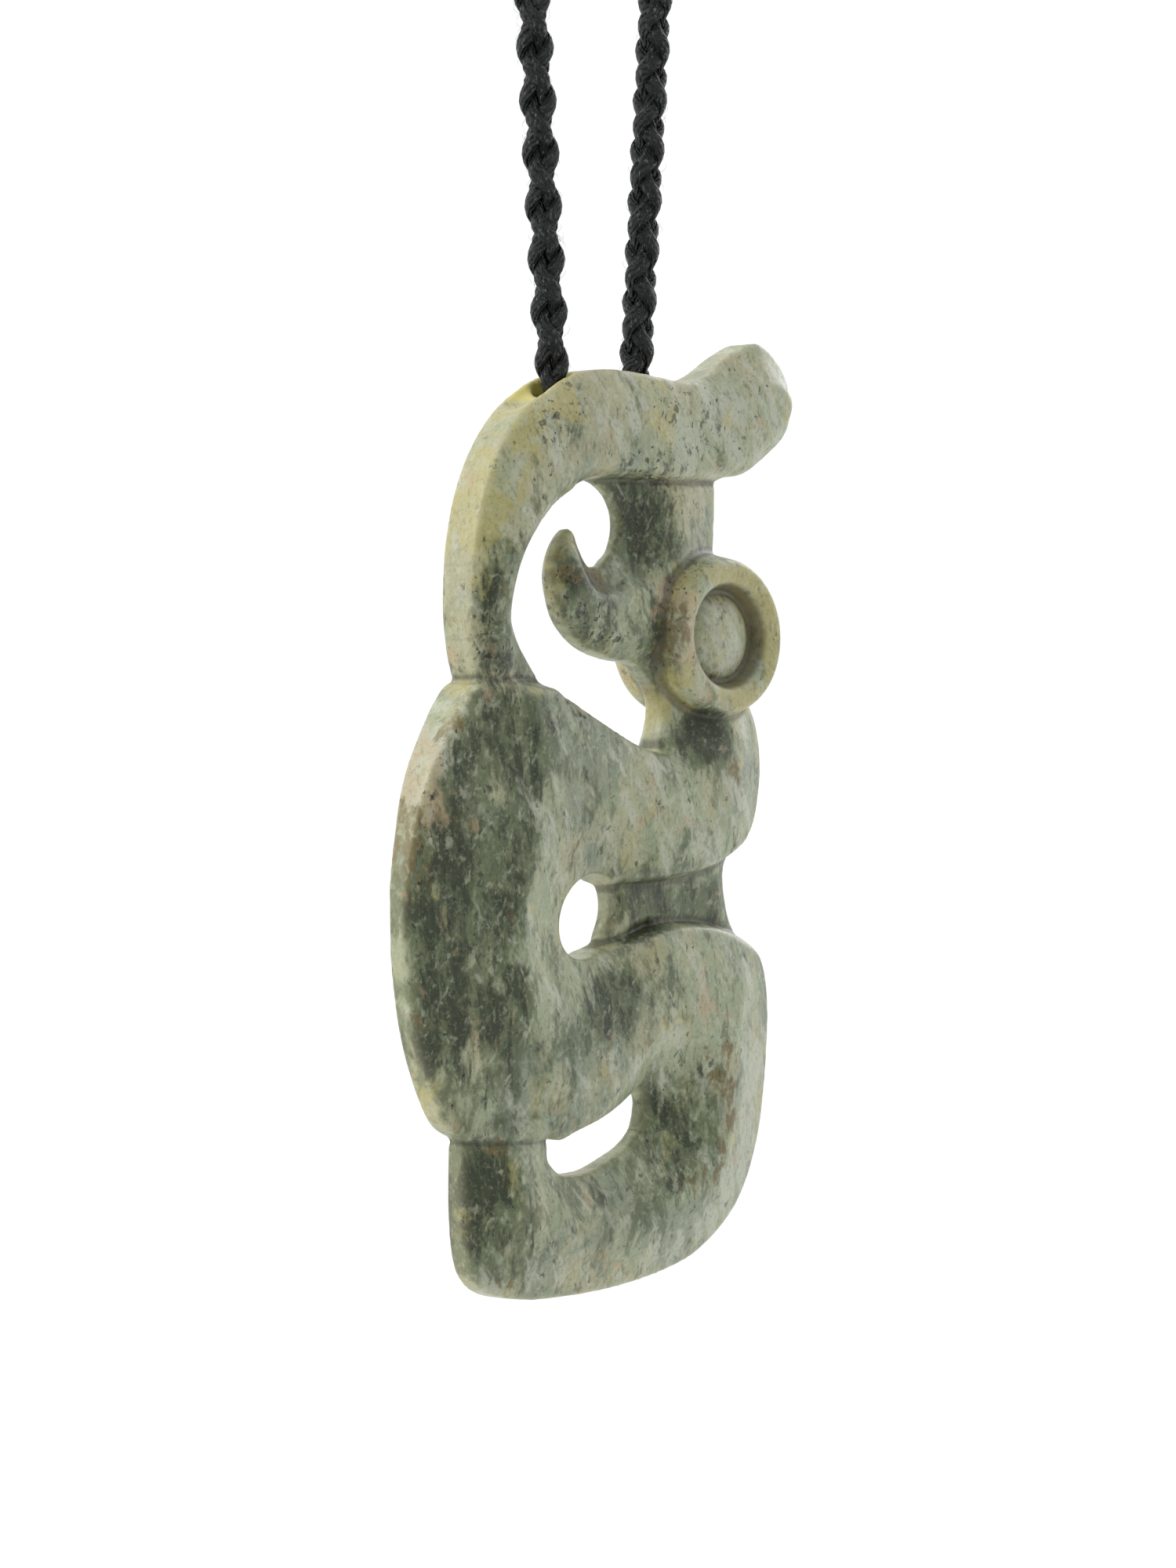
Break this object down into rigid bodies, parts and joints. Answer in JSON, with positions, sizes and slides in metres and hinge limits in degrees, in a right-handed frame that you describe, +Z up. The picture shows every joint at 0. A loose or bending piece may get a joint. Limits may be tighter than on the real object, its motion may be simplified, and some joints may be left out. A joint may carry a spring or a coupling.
{
  "type": "greenstone manaia pendant",
  "caption": "Flat carved greenstone pendant with a raised ring eye, hooked beak and pierced scrolls, hung on a closed loop of black braided cord.",
  "frame": {"origin": "point at the nape where the underside of the clasp rests, in the loop's own plane", "axes": "+Z up along the hanging loop, the carved face seen in the picture looks along -Y, and X runs to the right as that face is seen"},
  "size_m": [0.054, 0.0066, 0.348],
  "materials": {
    "greenstone": "polished, mottled grey-green and cream with dark specks",
    "cord": "black waxed braid",
    "clasp": "dark satin"
  },
  "bodies": {
    "cord": {"braided_cord": "cord", "cord_clasp": "clasp"},
    "stone": {"manaia_pendant": "greenstone"}
  },
  "joints": [
    {"name": "pendant_swing", "type": "hinge", "parent": "cord", "child": "stone", "pos_m": [0, 0, -0.28365], "axis": [1, 0, 0], "range_deg": [-8, 8]}
  ]
}
